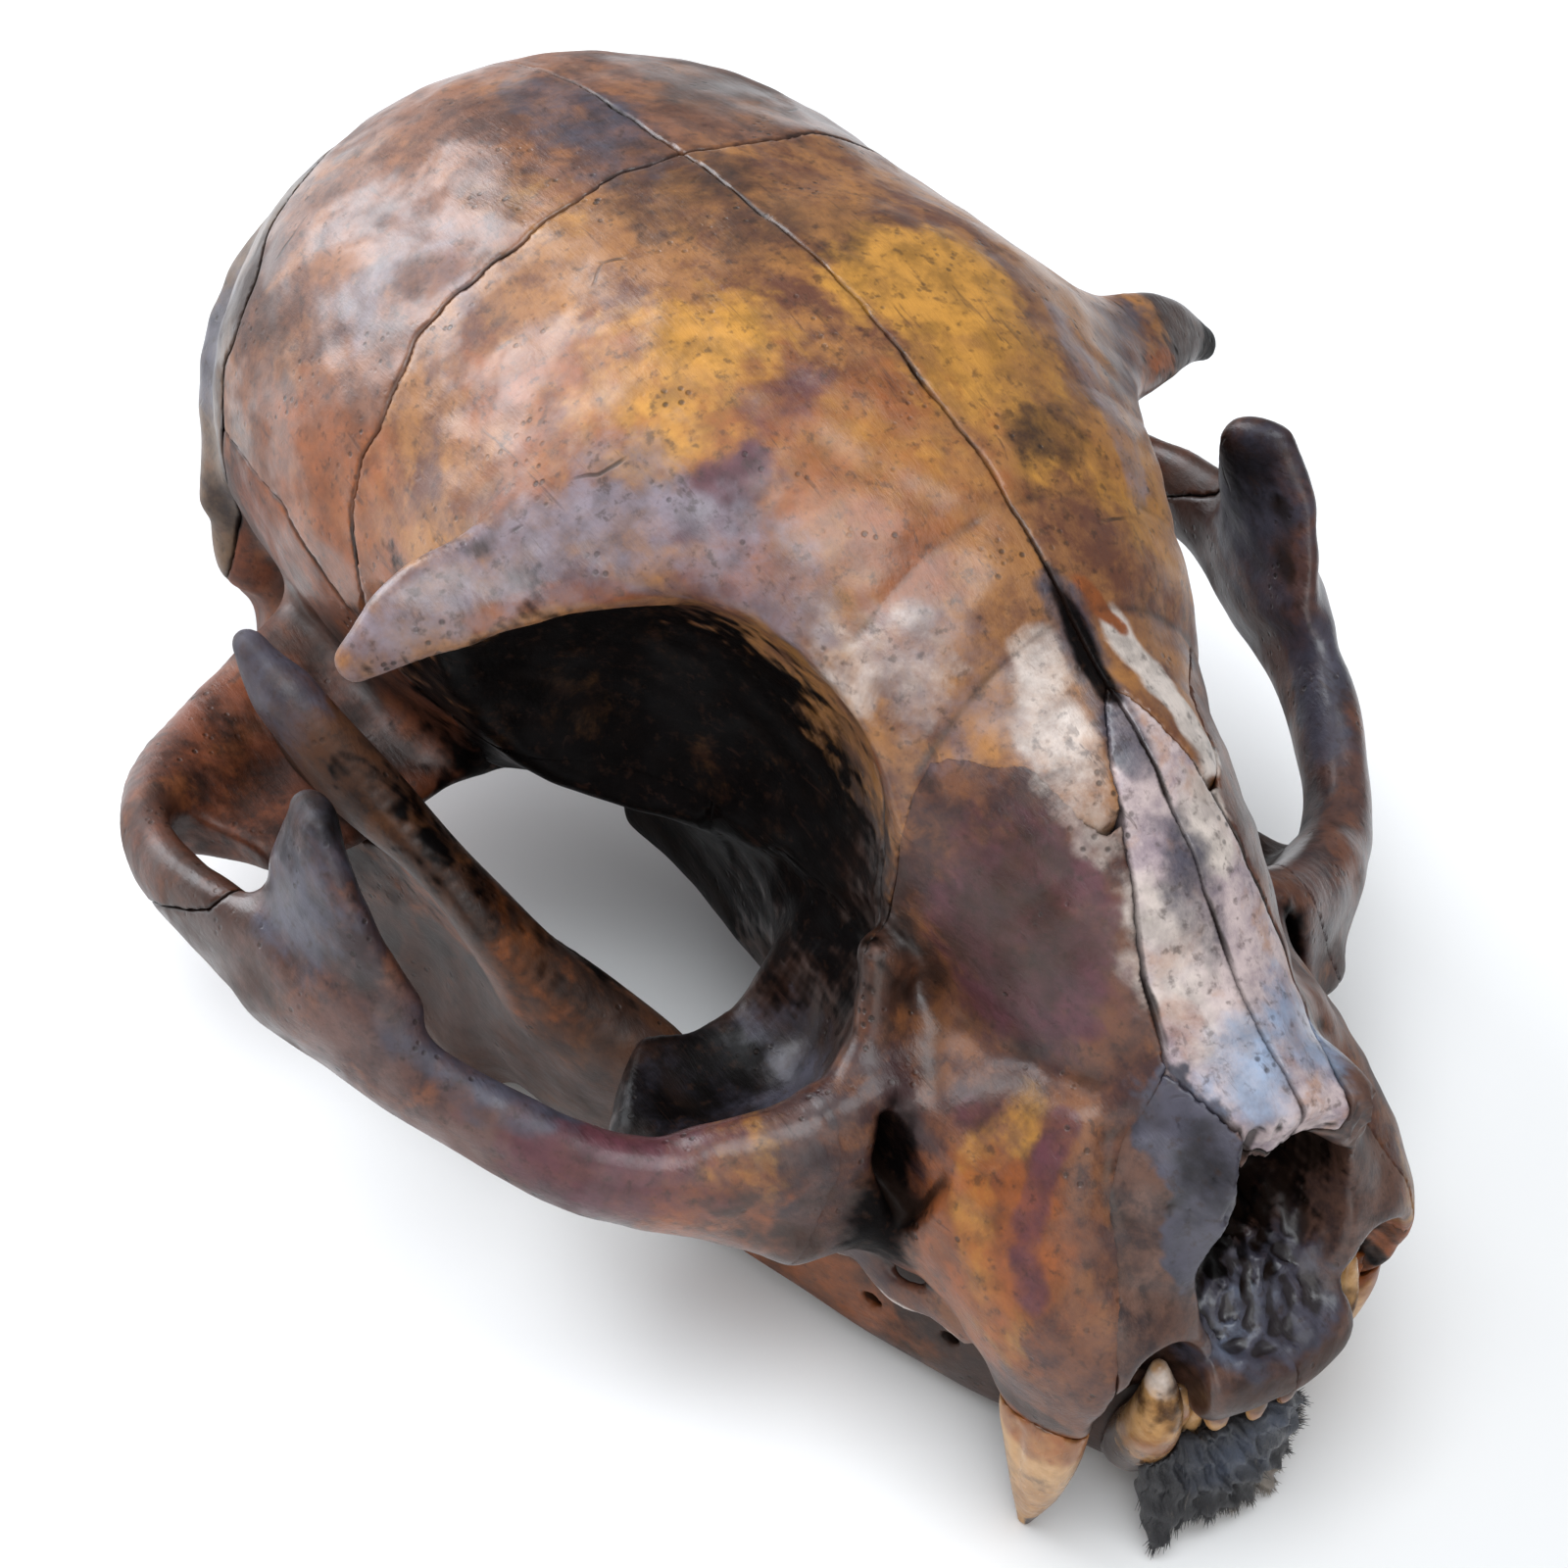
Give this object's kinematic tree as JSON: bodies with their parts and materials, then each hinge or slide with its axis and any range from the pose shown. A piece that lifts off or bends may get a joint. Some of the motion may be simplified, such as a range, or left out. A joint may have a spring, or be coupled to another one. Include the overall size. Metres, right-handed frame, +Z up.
{
  "type": "cat skull",
  "caption": "Domestic cat's skull with its lower jaw shut, parted at the sutures between its bones. Dark-stained dry bone that lies on its upper canine tips and the angles of the jaw.",
  "frame": {"origin": "centre of the overall bounding box at its bottom face", "axes": "-Y is the way the snout points, +X is the animal's left, +Z is up"},
  "size_m": [0.0702, 0.086, 0.0482],
  "materials": {
    "nasal": "gloss",
    "premaxilla": "gloss",
    "maxilla": "semi-gloss",
    "zygomatic": "semi-gloss",
    "frontal": "semi-gloss",
    "parietal": "semi-gloss",
    "temporal": "semi-gloss",
    "occipital": "satin",
    "sphenoid": "satin",
    "mandible": "semi-gloss",
    "upper_canine": "gloss",
    "lower_canine": "gloss",
    "chin_skin": "matt"
  },
  "bodies": {
    "root": {"nasal_left": "nasal", "nasal_right": "nasal", "premaxilla_left": "premaxilla", "premaxilla_right": "premaxilla", "maxilla_left": "maxilla", "maxilla_right": "maxilla", "zygomatic_left": "zygomatic", "zygomatic_right": "zygomatic", "frontal_left": "frontal", "frontal_right": "frontal", "parietal_left": "parietal", "parietal_right": "parietal", "temporal_left": "temporal", "temporal_right": "temporal", "occipital": "occipital", "sphenoid": "sphenoid", "mandible_left": "mandible", "mandible_right": "mandible", "upper_canine_left": "upper_canine", "upper_canine_right": "upper_canine", "lower_canine_left": "lower_canine", "lower_canine_right": "lower_canine", "chin_skin": "chin_skin"}
  },
  "joints": []
}
